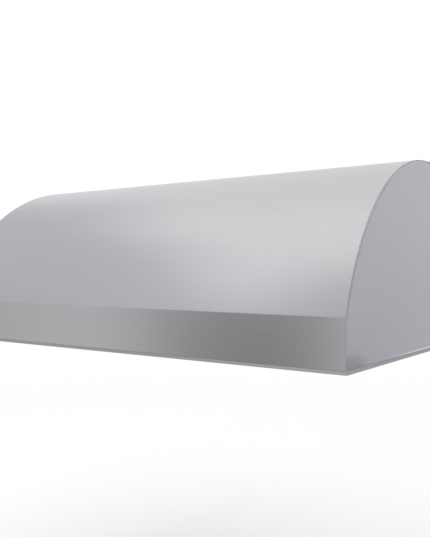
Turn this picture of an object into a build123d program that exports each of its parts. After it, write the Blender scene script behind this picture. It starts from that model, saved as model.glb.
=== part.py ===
"""Outdoor range hood: a wall-hung stainless steel canopy with a barrel-shaped front.

The hood hangs on a wall by its flat back. +X runs along the hood, to the right as seen from the
front, +Y runs into the wall and +Z up. The origin is on the wall face, at the middle of the hood's
lower edge. All sizes are in millimetres and all angles in degrees.
"""

import os
from math import acos, cos, degrees, radians, sin, sqrt

from build123d import *

os.makedirs("parts", exist_ok=True)

# Casing
hood_width = 1219.2
hood_depth = 762.0
hood_height = 448.0
sheet = 1.2
barrel_radius = 467.0
band_top = 106.0
band_return = 16.0
rim_height = 7.5
rim_setback = 0.8
rim_foot = 16.0
pan_flange = 18.0
pan_edge_radius = 2.6
skin_setback = 0.6
seam = 0.3
top_lap = 15.0
top_lap_gap = 0.4

# Screws that hold the top plate and the duct collars
screw_shank_radius = 2.0
screw_shank_length = 8.0
screw_head_radius = 4.2
screw_head_height = 2.4
screw_head_round = 1.0
screw_clearance = 0.15
top_screw_count = 4
top_screw_margin = 30.0

# Holes for the bolts in the wall
bolt_spacing_x = 812.8
bolt_spacing_z = 254.0
bolt_centre_z = 250.0
bolt_hole_radius = 4.5

# Baffle filters, measured in their sloping plane from the pivot pins
filter_count = 3
filter_slope = 7.6
pivot_back = 95.0
pivot_up = 60.0
filter_rear = 14.0
filter_thick = 24.0
filter_under = 4.0
filter_side_gap = 1.5
frame_sheet = 1.2
frame_flange = 18.0
pin_radius = 3.0
pin_past_wall = 1.0
running_gap = 0.1
baffle_sheet = 1.0
baffle_width = 30.0
baffle_pitch = 42.0
baffle_lip = 12.0
baffle_side_room = 1.5

# Wire handle that hangs below each filter
handle_inset = 75.0
handle_strap = 18.0
handle_wire_radius = 2.5
handle_drop = 34.0
handle_bend = 6.0
lug_spacing = 84.0
lug_width = 6.0
lug_wall = 3.0
lug_side_gap = 1.0

# Rails that the filters hang in
rail_width = 30.0
rail_sheet = 1.5
rail_under = 10.0
rail_drop = 2.5
divider_width = 16.0
swing_gap = 4.0
stop_gap = 0.5
stop_lip = 22.0
catch_width = 40.0
catch_height = 22.0
catch_sheet = 1.0
catch_bump = 2.2

# Light panel, lamps and controls
panel_z = 30.0
panel_depth = 147.6
panel_front_flange = 25.0
fitting_back = 72.0
lamp_spacing = 660.0
lamp_hole_radius = 35.0
lens_radius = 34.0
lens_thick = 3.0
lens_side_gap = 0.6
can_wall = 1.5
can_height = 46.0
can_flange = 9.0
ring_thick = 3.0
ring_inner_radius = 30.0
ring_over = 8.0
led_radius = 22.0
led_thick = 8.0
knob_spacing = 90.0
knob_skirt_radius = 21.0
knob_skirt_height = 4.0
knob_grip_radius = 16.0
knob_height = 20.0
knob_panel_gap = 0.5
knob_flute_count = 18
knob_flute_radius = 1.4
knob_mark_width = 2.0
knob_mark_depth = 1.0
knob_round = 2.0
stem_radius = 3.0
stem_depth = 20.0
stem_hole_radius = 6.0
switch_side = 38.0
switch_height = 30.0
switch_round = 3.0

# Grease tray and the brackets that it tilts in
tray_front_gap = 8.0
tray_back_gap = 10.0
tray_bottom = 10.0
tray_top = 33.0
tray_end_room = 20.0
tray_lip = 6.0
tray_pin_radius = 3.0
tray_pin_back = 5.0
tray_pin_up = 10.0
bracket_gap = 6.0
bracket_sheet = 1.5
bracket_length = 20.0
bracket_top_room = 2.0

# Duct collars and their dampers
collar_spacing = 600.0
collar_back = 127.0
collar_radius = 101.6
collar_neck_step = 0.8
collar_wall = 1.0
collar_rise = 18.0
collar_drop = 60.0
collar_flange_radius = 120.0
collar_hole_gap = 0.8
collar_screw_circle = 112.0
collar_screw_count = 6
damper_drop = 24.0
damper_rod_radius = 2.5
damper_rod_past = 3.0
flap_thick = 1.0
flap_edge_gap = 0.9
flap_rest_gap = 0.3
flap_ledge = 5.0
knuckle_radius = 4.2
knuckle_length = 24.0
knuckle_gap = 1.0
flap_root_gap = 1.2

# Blowers, measured from the wheel's axis
blower_z = 250.0
wheel_radius = 92.0
wheel_inner_radius = 75.0
wheel_width = 112.0
wheel_disc = 3.0
blade_count = 32
blade_sheet = 1.4
blade_bow = 4.0
hub_radius = 14.0
hub_length = 32.0
hub_fit = 0.02
scroll_gap = 22.0
scroll_growth = 13.0
tongue_angle = 62.0
housing_width = 150.0
housing_sheet = 1.2
outlet_plate_side = 216.0
outlet_plate_sheet = 1.5
inlet_radius = 71.0
inlet_flange = 20.0
inlet_side_gap = 1.5
inlet_wheel_gap = 2.5
motor_plate_thick = 2.0
motor_plate_lap = 8.0
wheel_hole_gap = 4.0
motor_radius = 48.0
motor_length = 95.0
motor_rib_depth = 2.0
motor_rib_count = 5
motor_rib_width = 6.0
motor_chamfer = 5.0
motor_bore_depth = 80.0
shaft_radius = 5.0
shaft_end_room = 6.0
shaft_hole_gap = 3.0

# Junction box, conduit bushing and wiring
box_width = 120.0
box_height = 90.0
box_depth = 45.0
box_z = 330.0
box_round = 4.0
cover_lap = 2.0
conduit_hole_radius = 11.0
bushing_fit = 0.05
bushing_bore_radius = 7.0
bushing_flange_radius = 15.0
bushing_flange_thick = 3.0
lead_radius = 3.5
lead_bend = 18.0
motor_lead_out = 30.0
control_lead_z = 190.0
lamp_lead_z = 14.0
lamp_lead_back = 58.0
lamp_lead_bend = 10.0

# Planes and edges that several pieces share
half_width = hood_width / 2
front_y = -hood_depth
pan_inner_x = half_width - sheet
pan_flange_x = half_width - pan_flange
pan_flat = sheet + pan_edge_radius
skin_half = half_width - skin_setback
barrel_z = hood_height - barrel_radius
barrel_y = front_y + sqrt(barrel_radius**2 - (band_top - barrel_z) ** 2)
collar_y = -collar_back
collar_x = collar_spacing / 2
pivot_y = -pivot_back
slope = radians(filter_slope)
filter_top = filter_thick - filter_under
panel_rear_y = front_y + panel_depth
filter_front = sqrt((pivot_y - swing_gap - panel_rear_y) ** 2 - filter_top**2)
handle_front = filter_front - handle_inset
stop_z = pivot_up + filter_front * sin(slope) + filter_top * cos(slope) + stop_gap
fitting_y = front_y + fitting_back
screw_hole_radius = screw_shank_radius + screw_clearance
everything = 2 * hood_width


def save(piece, name):
    """Name a finished piece and write it as its own STEP file."""
    piece.label = name
    export_step(piece, f"parts/{name}.step")


def save_pair(piece, name):
    """Write a right-hand piece and its mirror image on the left."""
    with BuildPart() as left_piece:
        mirror(piece, about=Plane.YZ)
    save(piece, f"{name}_right")
    save(left_piece.part, f"{name}_left")


def barrel_curve(inset):
    """Draw the barrel's arc on the side outline, moved inwards by inset, from the top to the band."""
    radius = barrel_radius - inset
    crease_angle = degrees(acos((front_y + inset - barrel_y) / radius))
    arc = CenterArc((barrel_y, barrel_z), radius, 90, crease_angle - 90)
    return arc @ 0, arc @ 1


# Where the screws stand: two rows along the top plate's ends, and a ring on each collar
top_screw_first = barrel_y + top_screw_margin
top_screw_step = (-top_screw_margin - top_screw_first) / (top_screw_count - 1)
top_screw_spots = [
    (side * (half_width - pan_flange / 2), top_screw_first + step * top_screw_step)
    for side in (-1, 1)
    for step in range(top_screw_count)
]
collar_screw_angles = [360 / collar_screw_count * (step + 0.5) for step in range(collar_screw_count)]
collar_screw_spots = [
    (
        side * collar_x + collar_screw_circle * cos(radians(angle)),
        collar_y + collar_screw_circle * sin(radians(angle)),
    )
    for side in (-1, 1)
    for angle in collar_screw_angles
]

# Side panels: folded pans whose flanges run under the barrel, the top plate and the back panel
with BuildPart() as right_side_panel:
    with BuildSketch(Plane.YZ.offset(pan_flange_x)):
        with BuildLine():
            pan_top, pan_crease = barrel_curve(sheet + seam)
            Polyline(
                pan_crease,
                (front_y + sheet + seam, rim_height),
                (-sheet, rim_height),
                (-sheet, pan_top.Y),
                pan_top,
            )
        make_face()
    extrude(amount=pan_flange)
    fillet(faces().sort_by(Axis.X)[-1].edges(), pan_edge_radius)
    offset(amount=-sheet, openings=faces().sort_by(Axis.X)[0])
    with BuildSketch(Plane.XY.offset(hood_height)):
        with Locations(*top_screw_spots):
            Circle(screw_hole_radius)
    extrude(amount=-2 * (sheet + seam) - sheet, mode=Mode.SUBTRACT)
save_pair(right_side_panel.part, "side_panel")

# Barrel front: one sheet with the upright band, the crease and the barrel, turned in at the bottom
with BuildPart() as barrel_front:
    with BuildSketch(Plane.YZ):
        with BuildLine():
            outer_top, outer_crease = barrel_curve(0)
            inner_top, inner_crease = barrel_curve(sheet)
            Line(outer_top, inner_top)
            Polyline(outer_crease, (front_y, rim_height), (front_y + sheet, rim_height), inner_crease)
        make_face()
    extrude(amount=skin_half, both=True)
    with BuildSketch(Plane.XY.offset(rim_height)):
        with Locations((0, front_y)):
            Rectangle(2 * (pan_flange_x - seam), band_return, align=(Align.CENTER, Align.MIN))
    extrude(amount=sheet)
save(barrel_front.part, "barrel_front")

# Top plate: flat sheet with a tongue under the barrel's upper edge and a hole for each duct collar
with BuildPart() as top_plate:
    with BuildSketch(Plane.XY.offset(hood_height)):
        Rectangle(2 * skin_half, -(barrel_y + seam), align=(Align.CENTER, Align.MAX))
    extrude(amount=-sheet)
    with BuildSketch(Plane.XY.offset(hood_height - sheet)):
        with Locations((0, barrel_y + seam)):
            Rectangle(2 * (pan_flange_x - seam), top_lap, align=(Align.CENTER, Align.MIN))
    extrude(amount=-sheet)
    with BuildSketch(Plane.XY.offset(hood_height - sheet - top_lap_gap)):
        with Locations((0, barrel_y)):
            Rectangle(2 * (pan_flange_x - seam), 2 * top_lap)
    extrude(amount=-sheet)
    with BuildSketch(Plane.XY.offset(hood_height)):
        with Locations((-collar_x, collar_y), (collar_x, collar_y)):
            Circle(collar_radius + collar_hole_gap)
        with Locations(*top_screw_spots, *collar_screw_spots):
            Circle(screw_hole_radius)
    extrude(amount=-2 * sheet, mode=Mode.SUBTRACT)
save(top_plate.part, "top_plate")

# Back panel: the flat sheet that lies on the wall, with the bolt holes and the conduit hole
with BuildPart() as back_panel:
    with BuildSketch(Plane.XZ):
        Rectangle(2 * skin_half, hood_height - sheet, align=(Align.CENTER, Align.MIN))
        with Locations((0, bolt_centre_z)):
            with GridLocations(bolt_spacing_x, bolt_spacing_z, 2, 2):
                Circle(bolt_hole_radius, mode=Mode.SUBTRACT)
        with Locations((0, box_z)):
            Circle(conduit_hole_radius, mode=Mode.SUBTRACT)
    extrude(amount=sheet)
save(back_panel.part, "back_panel")

# Base rim: angle strip round the front and both ends, a little set back below the skins
rim_half = half_width - rim_setback
rim_front_y = front_y + rim_setback
rim_length = -sheet - rim_front_y
with BuildPart() as base_rim:
    with BuildSketch():
        with Locations((0, rim_front_y)):
            Rectangle(2 * rim_half, rim_length, align=(Align.CENTER, Align.MIN))
        with Locations((0, rim_front_y + sheet)):
            Rectangle(
                2 * (rim_half - sheet), rim_length, align=(Align.CENTER, Align.MIN), mode=Mode.SUBTRACT
            )
    extrude(amount=rim_height)
    with BuildSketch():
        with Locations((0, rim_front_y)):
            Rectangle(2 * rim_half, rim_length, align=(Align.CENTER, Align.MIN))
        with Locations((0, rim_front_y + rim_foot)):
            Rectangle(
                2 * (rim_half - rim_foot), rim_length, align=(Align.CENTER, Align.MIN), mode=Mode.SUBTRACT
            )
    extrude(amount=sheet)
save(base_rim.part, "base_rim")

# Light panel: folded sheet behind the front band, with the lip that stops the filters at its rear
panel_front_y = front_y + pan_flat + seam
lamp_spots = [(-lamp_spacing / 2, fitting_y), (lamp_spacing / 2, fitting_y)]
knob_spots = [(-knob_spacing / 2, fitting_y), (knob_spacing / 2, fitting_y)]
with BuildPart() as light_panel:
    with BuildSketch(Plane.YZ):
        with BuildLine():
            Polyline(
                (panel_front_y, panel_z + panel_front_flange),
                (panel_front_y, panel_z),
                (panel_rear_y, panel_z),
                (panel_rear_y, stop_z),
                (panel_rear_y + stop_lip, stop_z),
            )
            offset(amount=sheet, side=Side.LEFT)
        make_face()
    extrude(amount=pan_inner_x - seam, both=True)
    with BuildSketch(Plane.XY.offset(panel_z)):
        with Locations(*lamp_spots):
            Circle(lamp_hole_radius)
        with Locations(*knob_spots):
            Circle(stem_hole_radius)
    extrude(amount=sheet, mode=Mode.SUBTRACT)
save(light_panel.part, "light_panel")

# Filter bays: all rails and filters are drawn in the filters' sloping plane
bays_width = 2 * (pan_inner_x - rail_width) - (filter_count - 1) * divider_width
bay_width = bays_width / filter_count
bay_pitch = bay_width + divider_width
bay_centres = [(bay - (filter_count - 1) / 2) * bay_pitch for bay in range(filter_count)]
filter_width = bay_width - 2 * filter_side_gap
rail_top = filter_top - rail_drop
rail_height = rail_under + rail_top
slope_rear = (0, cos(slope), -sin(slope))
slope_front = (0, -cos(slope), sin(slope))
slope_up = (0, sin(slope), cos(slope))


def floor_plane(x, height):
    """Plane of a filter bay centred on x, height above the pivot, with its Y down the slope."""
    middle = Plane(origin=(x, pivot_y, pivot_up), x_dir=(1, 0, 0), z_dir=slope_up)
    return middle.offset(height)


def section_plane(x, rear):
    """Plane across a filter bay, rear of the pivot by that much, that faces up the slope."""
    middle = Plane(origin=(x, pivot_y, pivot_up), x_dir=(1, 0, 0), z_dir=slope_front)
    return middle.offset(-rear)


def end_plane(x):
    """Plane square to the pivot axis at x, with its X down the slope."""
    return Plane(origin=(x, pivot_y, pivot_up), x_dir=slope_rear, z_dir=(1, 0, 0))


def trim_rail(rear_y):
    """Cut a rail off upright at the light panel and at rear_y, and notch it for the pivot pins."""
    split(bisect_by=Plane.XZ.offset(-panel_rear_y), keep=Keep.BOTTOM)
    split(bisect_by=Plane.XZ.offset(-rear_y), keep=Keep.TOP)
    with BuildSketch(end_plane(0)) as notch:
        Circle(pin_radius + running_gap)
        Rectangle(2 * (pin_radius + running_gap), rail_height, align=(Align.CENTER, Align.MIN))
    extrude(notch.sketch, amount=half_width, both=True, mode=Mode.SUBTRACT)


# Side rails: angles that close the gap between a side panel and the outer filter
with BuildPart() as right_filter_rail:
    with BuildSketch(section_plane(pan_inner_x - rail_width, hood_depth)):
        with Locations((0, -rail_under)):
            Rectangle(rail_sheet, rail_height, align=(Align.MIN, Align.MIN))
        with Locations((0, rail_top - rail_sheet)):
            Rectangle(rail_width, rail_sheet, align=(Align.MIN, Align.MIN))
    extrude(amount=2 * hood_depth)
    trim_rail(-pan_flat)
save_pair(right_filter_rail.part, "filter_rail")

# Dividers: inverted channels between the filters, from the light panel to the back panel
for index in range(filter_count - 1):
    divider_x = (bay_centres[index] + bay_centres[index + 1]) / 2
    with BuildPart() as filter_divider:
        with BuildSketch(section_plane(divider_x, hood_depth)):
            with Locations((0, -rail_under)):
                Rectangle(divider_width, rail_height, align=(Align.CENTER, Align.MIN))
                Rectangle(
                    divider_width - 2 * rail_sheet,
                    rail_height - rail_sheet,
                    align=(Align.CENTER, Align.MIN),
                    mode=Mode.SUBTRACT,
                )
        extrude(amount=2 * hood_depth)
        trim_rail(-sheet)
    save(filter_divider.part, f"filter_divider_{index + 1}")

# Filter catches: bent spring strips on the light panel that the filters' front edges snap past
catch_z = pivot_up + filter_front * sin(slope) - filter_under * cos(slope)
with BuildPart() as filter_catches:
    for bay_x in bay_centres:
        with BuildSketch(Plane.YZ.offset(bay_x)):
            with Locations((panel_rear_y, catch_z)):
                Rectangle(catch_sheet, catch_height, align=(Align.MIN, Align.MAX))
            with Locations((panel_rear_y + catch_sheet, catch_z - catch_height / 2)):
                Circle(catch_bump)
            with Locations((panel_rear_y, catch_z)):
                Rectangle(
                    catch_sheet + catch_bump,
                    2 * catch_height,
                    align=(Align.MAX, Align.CENTER),
                    mode=Mode.SUBTRACT,
                )
        extrude(amount=catch_width / 2, both=True)
save(filter_catches.part, "filter_catches")

# Where the handle's pivot is, in the filter's plane and in the hood
lug_hole_radius = handle_wire_radius + running_gap
lug_reach = lug_wall + lug_hole_radius
handle_height = -filter_under - lug_reach
baffle_length = filter_front + filter_rear - 2 * frame_sheet
baffle_room = filter_width - 2 * frame_sheet - 2 * baffle_side_room
lower_count = int((baffle_room - baffle_width) / baffle_pitch) + 1
core_bottom = -filter_under + frame_sheet
core_top = filter_top - frame_sheet


def baffle_row(count, web_height, web_align):
    """Draw a row of channels with their webs at web_height and their lips towards the middle."""
    row_start = -(count - 1) / 2 * baffle_pitch
    lip_shift = baffle_sheet if web_align == Align.MIN else -baffle_sheet
    spots = [row_start + step * baffle_pitch for step in range(count)]
    with Locations(*[(x, web_height) for x in spots]):
        Rectangle(baffle_width, baffle_lip, align=(Align.CENTER, web_align))
    with Locations(*[(x, web_height + lip_shift) for x in spots]):
        Rectangle(
            baffle_width - 2 * baffle_sheet, baffle_lip, align=(Align.CENTER, web_align), mode=Mode.SUBTRACT
        )


for number, bay_x in enumerate(bay_centres, start=1):
    # Filter frame: channel on all four sides, with a strap for the handle and a pivot pin at each end
    with BuildPart() as filter_frame:
        with BuildSketch(floor_plane(bay_x, -filter_under)) as frame_outline:
            with Locations((0, filter_rear)):
                Rectangle(filter_width, filter_front + filter_rear, align=(Align.CENTER, Align.MAX))
        extrude(amount=filter_thick)
        with BuildSketch(floor_plane(bay_x, core_bottom)):
            offset(frame_outline.sketch_local, amount=-frame_sheet)
        extrude(amount=filter_thick - 2 * frame_sheet, mode=Mode.SUBTRACT)
        with BuildSketch(floor_plane(bay_x, -filter_under)):
            offset(frame_outline.sketch_local, amount=-frame_flange)
        extrude(amount=filter_thick, mode=Mode.SUBTRACT)
        with BuildSketch(floor_plane(bay_x, -filter_under)):
            with Locations((0, -handle_front)):
                Rectangle(filter_width - frame_flange, handle_strap)
        extrude(amount=frame_sheet)
        for side in (-1, 1):
            with BuildSketch(end_plane(bay_x + side * lug_spacing / 2)):
                with Locations((-handle_front, handle_height)):
                    Circle(lug_reach)
                    Rectangle(2 * lug_reach, lug_reach, align=(Align.CENTER, Align.MIN))
                    Circle(lug_hole_radius, mode=Mode.SUBTRACT)
            extrude(amount=lug_width / 2, both=True)
            with BuildSketch(end_plane(bay_x + side * filter_width / 2)):
                Circle(pin_radius)
            extrude(amount=side * (filter_side_gap + rail_sheet + pin_past_wall))
    save(filter_frame.part, f"filter_frame_{number}")

    # Baffles: two rows of channels that face each other and overlap, resting on the frame's flanges
    with BuildPart() as filter_baffles:
        with BuildSketch(section_plane(bay_x, filter_rear - frame_sheet)):
            baffle_row(lower_count, core_bottom, Align.MIN)
        extrude(amount=baffle_length)
        with BuildSketch(section_plane(bay_x, filter_rear - frame_sheet)):
            baffle_row(lower_count - 1, core_top, Align.MAX)
        extrude(amount=baffle_length)
    save(filter_baffles.part, f"filter_baffles_{number}")

    # Handle: bent wire whose ends turn out through the two lugs, hanging straight down
    handle_pivot = end_plane(bay_x).from_local_coords((-handle_front, handle_height, 0))
    leg_x = lug_spacing / 2 - lug_width / 2 - lug_side_gap - handle_bend
    pin_end_x = lug_spacing / 2 + lug_width / 2 + lug_side_gap
    handle_plane = Plane(origin=handle_pivot, x_dir=(1, 0, 0), z_dir=(0, -1, 0))
    with BuildPart() as filter_handle:
        with BuildLine(handle_plane) as wire:
            FilletPolyline(
                (pin_end_x, 0),
                (leg_x, 0),
                (leg_x, -handle_drop),
                (-leg_x, -handle_drop),
                (-leg_x, 0),
                (-pin_end_x, 0),
                radius=handle_bend,
            )
        with BuildSketch(Plane(origin=wire.line @ 0, z_dir=wire.line % 0)):
            Circle(handle_wire_radius)
        sweep(path=wire.line)
    save(filter_handle.part, f"filter_handle_{number}")

# Grease tray: long trough under the filters' rear edges, with a finger lip and a pivot pin at each end
tray_front_y = pivot_y + tray_front_gap
tray_back_y = -sheet - tray_back_gap
tray_depth = tray_back_y - tray_front_y
tray_half = pan_inner_x - tray_end_room
tray_pin_y = tray_back_y - tray_pin_back
tray_pin_z = tray_bottom + tray_pin_up
bracket_x = tray_half + bracket_gap
with BuildPart() as grease_tray:
    with BuildSketch(Plane.XY.offset(tray_bottom)):
        with Locations((0, tray_front_y)):
            Rectangle(2 * tray_half, tray_depth, align=(Align.CENTER, Align.MIN))
    extrude(amount=tray_top - tray_bottom)
    offset(amount=-sheet, openings=faces().sort_by(Axis.Z)[-1])
    with BuildSketch(Plane.XY.offset(tray_top - sheet)):
        with Locations((0, tray_front_y)):
            Rectangle(2 * tray_half, tray_lip, align=(Align.CENTER, Align.MAX))
    extrude(amount=sheet)
    for side in (-1, 1):
        with BuildSketch(Plane.YZ.offset(side * tray_half)):
            with Locations((tray_pin_y, tray_pin_z)):
                Circle(tray_pin_radius)
        extrude(amount=side * (bracket_gap + bracket_sheet + pin_past_wall))
save(grease_tray.part, "grease_tray")

# Tray brackets: small channels on the side panels whose inner legs carry the tray's pivot pins
bracket_bottom = rim_height + pan_flat + seam
bracket_height = tray_top - bracket_top_room - bracket_bottom
bracket_width = pan_inner_x - bracket_x
with BuildPart() as tray_brackets:
    for side in (-1, 1):
        with BuildSketch(Plane.XZ.offset(-tray_pin_y)):
            with Locations((side * (bracket_x + bracket_width / 2), bracket_bottom)):
                Rectangle(bracket_width, bracket_height, align=(Align.CENTER, Align.MIN))
                Rectangle(
                    bracket_width - 2 * bracket_sheet,
                    bracket_height - bracket_sheet,
                    align=(Align.CENTER, Align.MIN),
                    mode=Mode.SUBTRACT,
                )
        extrude(amount=bracket_length / 2, both=True)
    with BuildSketch(Plane.YZ):
        with Locations((tray_pin_y, tray_pin_z)):
            Circle(tray_pin_radius + running_gap)
    extrude(amount=bracket_x + bracket_sheet, both=True, mode=Mode.SUBTRACT)
save(tray_brackets.part, "tray_brackets")

# Lamps: can above the light panel, glass lens in the hole, ring below and a light board in the can
can_inner_radius = lens_radius + lens_side_gap
can_bottom = panel_z + sheet
with BuildPart() as lamp_can:
    with BuildSketch(Plane.XZ.offset(-fitting_y)):
        with BuildLine():
            Polyline(
                (0, can_bottom + can_height),
                (can_inner_radius + can_wall, can_bottom + can_height),
                (can_inner_radius + can_wall, can_bottom + can_wall),
                (can_inner_radius + can_wall + can_flange, can_bottom + can_wall),
                (can_inner_radius + can_wall + can_flange, can_bottom),
                (can_inner_radius, can_bottom),
                (can_inner_radius, can_bottom + can_height - can_wall),
                (0, can_bottom + can_height - can_wall),
                close=True,
            )
        make_face()
    revolve(axis=Axis((0, fitting_y, 0), (0, 0, 1)))
with BuildPart() as lamp_lens:
    with BuildSketch(Plane.XY.offset(panel_z)):
        with Locations((0, fitting_y)):
            Circle(lens_radius)
    extrude(amount=lens_thick)
    chamfer(edges().group_by(Axis.Z)[-1], lens_thick / 4)
with BuildPart() as lamp_ring:
    with BuildSketch(Plane.XY.offset(panel_z)):
        with Locations((0, fitting_y)):
            Circle(lamp_hole_radius + ring_over)
            Circle(ring_inner_radius, mode=Mode.SUBTRACT)
    extrude(amount=-ring_thick)
    fillet(edges().group_by(Axis.Z)[0], ring_thick / 3)
for piece, name in ((lamp_can, "lamp_can"), (lamp_lens, "lamp_lens"), (lamp_ring, "lamp_ring")):
    with BuildPart() as right_lamp_piece:
        with Locations((lamp_spacing / 2, 0)):
            add(piece.part)
    save_pair(right_lamp_piece.part, name)
with BuildPart() as lamp_boards:
    with BuildSketch(Plane.XY.offset(can_bottom + can_height - can_wall)):
        with Locations(*lamp_spots):
            Circle(led_radius)
    extrude(amount=-led_thick)
save(lamp_boards.part, "lamp_boards")

# Controls: a fluted knob with a stem below the panel, and a rotary control above it
knob_top = panel_z - knob_panel_gap
for spot, name in zip(knob_spots, ("fan", "light")):
    with BuildPart() as knob:
        with BuildSketch(Plane.XY.offset(knob_top)):
            with Locations(spot):
                Circle(knob_skirt_radius)
        extrude(amount=-knob_skirt_height)
        fillet(edges().group_by(Axis.Z)[0], knob_round)
        with BuildSketch(Plane.XY.offset(knob_top - knob_skirt_height)):
            with Locations(spot):
                Circle(knob_grip_radius)
                with PolarLocations(knob_grip_radius, knob_flute_count):
                    Circle(knob_flute_radius, mode=Mode.SUBTRACT)
        extrude(amount=knob_skirt_height - knob_height)
        with BuildSketch(Plane.XY.offset(knob_top - knob_height)):
            with Locations(spot):
                Rectangle(knob_mark_width, knob_grip_radius, align=(Align.CENTER, Align.MAX))
        extrude(amount=knob_mark_depth, mode=Mode.SUBTRACT)
        with BuildSketch(Plane.XY.offset(knob_top)):
            with Locations(spot):
                Circle(stem_radius)
        extrude(amount=knob_panel_gap + sheet + stem_depth)
    save(knob.part, f"{name}_knob")
    with BuildPart() as rotary_control:
        with BuildSketch(Plane.XY.offset(panel_z + sheet)):
            with Locations(spot):
                RectangleRounded(switch_side, switch_side, switch_round)
        extrude(amount=switch_height)
        with BuildSketch(Plane.XY.offset(panel_z + sheet)):
            with Locations(spot):
                Circle(stem_radius + running_gap)
        extrude(amount=stem_depth + running_gap, mode=Mode.SUBTRACT)
    save(rotary_control.part, f"{name}_control")

# Duct collars: flanged tubes on the top plate, stepped above the flange for the duct, with a ledge
# inside that the damper flaps rest on
damper_z = hood_height - damper_drop
collar_bottom = hood_height - collar_drop
collar_neck_radius = collar_radius - collar_neck_step
collar_bore = collar_neck_radius - collar_wall
ledge_top = damper_z - flap_thick / 2 - flap_rest_gap
rod_half = collar_radius + damper_rod_past
with BuildPart() as right_collar:
    with BuildSketch(Plane.XY.offset(collar_bottom)):
        with Locations((collar_x, collar_y)):
            Circle(collar_neck_radius)
            Circle(collar_bore, mode=Mode.SUBTRACT)
    extrude(amount=collar_drop)
    with BuildSketch(Plane.XY.offset(hood_height)):
        with Locations((collar_x, collar_y)):
            Circle(collar_radius)
            Circle(collar_bore, mode=Mode.SUBTRACT)
    extrude(amount=collar_rise)
    with BuildSketch(Plane.XY.offset(hood_height)):
        with Locations((collar_x, collar_y)):
            Circle(collar_flange_radius)
            Circle(collar_bore, mode=Mode.SUBTRACT)
    extrude(amount=sheet)
    with BuildSketch(Plane.XY.offset(ledge_top)):
        with Locations((collar_x, collar_y)):
            Circle(collar_neck_radius)
            Circle(collar_bore - flap_ledge, mode=Mode.SUBTRACT)
    extrude(amount=-sheet)
    with BuildSketch(Plane.YZ.offset(collar_x)):
        with Locations((collar_y, damper_z)):
            Circle(damper_rod_radius + running_gap)
    extrude(amount=rod_half, both=True, mode=Mode.SUBTRACT)
    with BuildSketch(Plane.XY.offset(hood_height)):
        with Locations(*collar_screw_spots):
            Circle(screw_hole_radius)
    extrude(amount=sheet, mode=Mode.SUBTRACT)
save_pair(right_collar.part, "duct_collar")

# Damper rods: one across each collar, through holes in its wall
with BuildPart() as right_rod:
    with BuildSketch(Plane.YZ.offset(collar_x)):
        with Locations((collar_y, damper_z)):
            Circle(damper_rod_radius)
    extrude(amount=rod_half, both=True)
save_pair(right_rod.part, "damper_rod")

# Damper flaps: two half discs a collar, with knuckles that sit side by side on the rod
knuckle_step = knuckle_length + knuckle_gap
for rearward, name, knuckle_spots in (
    (-1, "front", (-1.5 * knuckle_step, 0.5 * knuckle_step)),
    (1, "rear", (-0.5 * knuckle_step, 1.5 * knuckle_step)),
):
    away = Align.MIN if rearward > 0 else Align.MAX
    with BuildPart() as right_flap:
        with BuildSketch(Plane.XY.offset(damper_z - flap_thick / 2)):
            with Locations((collar_x, collar_y)):
                Circle(collar_bore - flap_edge_gap)
            with Locations((collar_x, collar_y + rearward * (knuckle_radius + flap_root_gap))):
                Rectangle(everything, everything, align=(Align.CENTER, away), mode=Mode.INTERSECT)
        extrude(amount=flap_thick)
        for knuckle_x in knuckle_spots:
            with BuildSketch(Plane.YZ.offset(collar_x + knuckle_x)):
                with Locations((collar_y, damper_z)):
                    Circle(knuckle_radius)
                    Rectangle(2 * knuckle_radius, flap_thick, align=(away, Align.CENTER))
            extrude(amount=knuckle_length / 2, both=True)
        with BuildSketch(Plane.YZ.offset(collar_x)):
            with Locations((collar_y, damper_z)):
                Circle(damper_rod_radius + running_gap)
        extrude(amount=rod_half, both=True, mode=Mode.SUBTRACT)
    save_pair(right_flap.part, f"damper_flap_{name}")

# Blower scroll: three quarter arcs that grow round the wheel, from the tongue to the outlet
scroll_start = wheel_radius + scroll_gap
scroll_end = scroll_start + 2 * scroll_growth
scroll_half = scroll_growth / 2
tongue_y = -scroll_half + scroll_start * cos(radians(tongue_angle))
outlet_rear = scroll_half + scroll_end
blower_y = collar_y - (tongue_y + outlet_rear) / 2
outlet_top = collar_bottom - blower_z


def wheel_plane(along):
    """Plane square to the blowers' axis, that far along from the middle of the right-hand one."""
    return Plane(origin=(collar_x + along, blower_y, blower_z), x_dir=(0, 1, 0), z_dir=(1, 0, 0))


def scroll_outline(inset, top):
    """Draw the closed scroll, moved inwards by inset, with its outlet open upwards to top."""
    start = scroll_start - inset
    first = CenterArc((-scroll_half, -scroll_half), start, tongue_angle, 180 - tongue_angle)
    CenterArc((scroll_half, -scroll_half), start + scroll_growth, 180, 90)
    last = CenterArc((scroll_half, scroll_half), start + 2 * scroll_growth, 270, 90)
    tongue = first @ 0
    rear = last @ 1
    Polyline(rear, (rear.X, top), (tongue.X, top), tongue)


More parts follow.
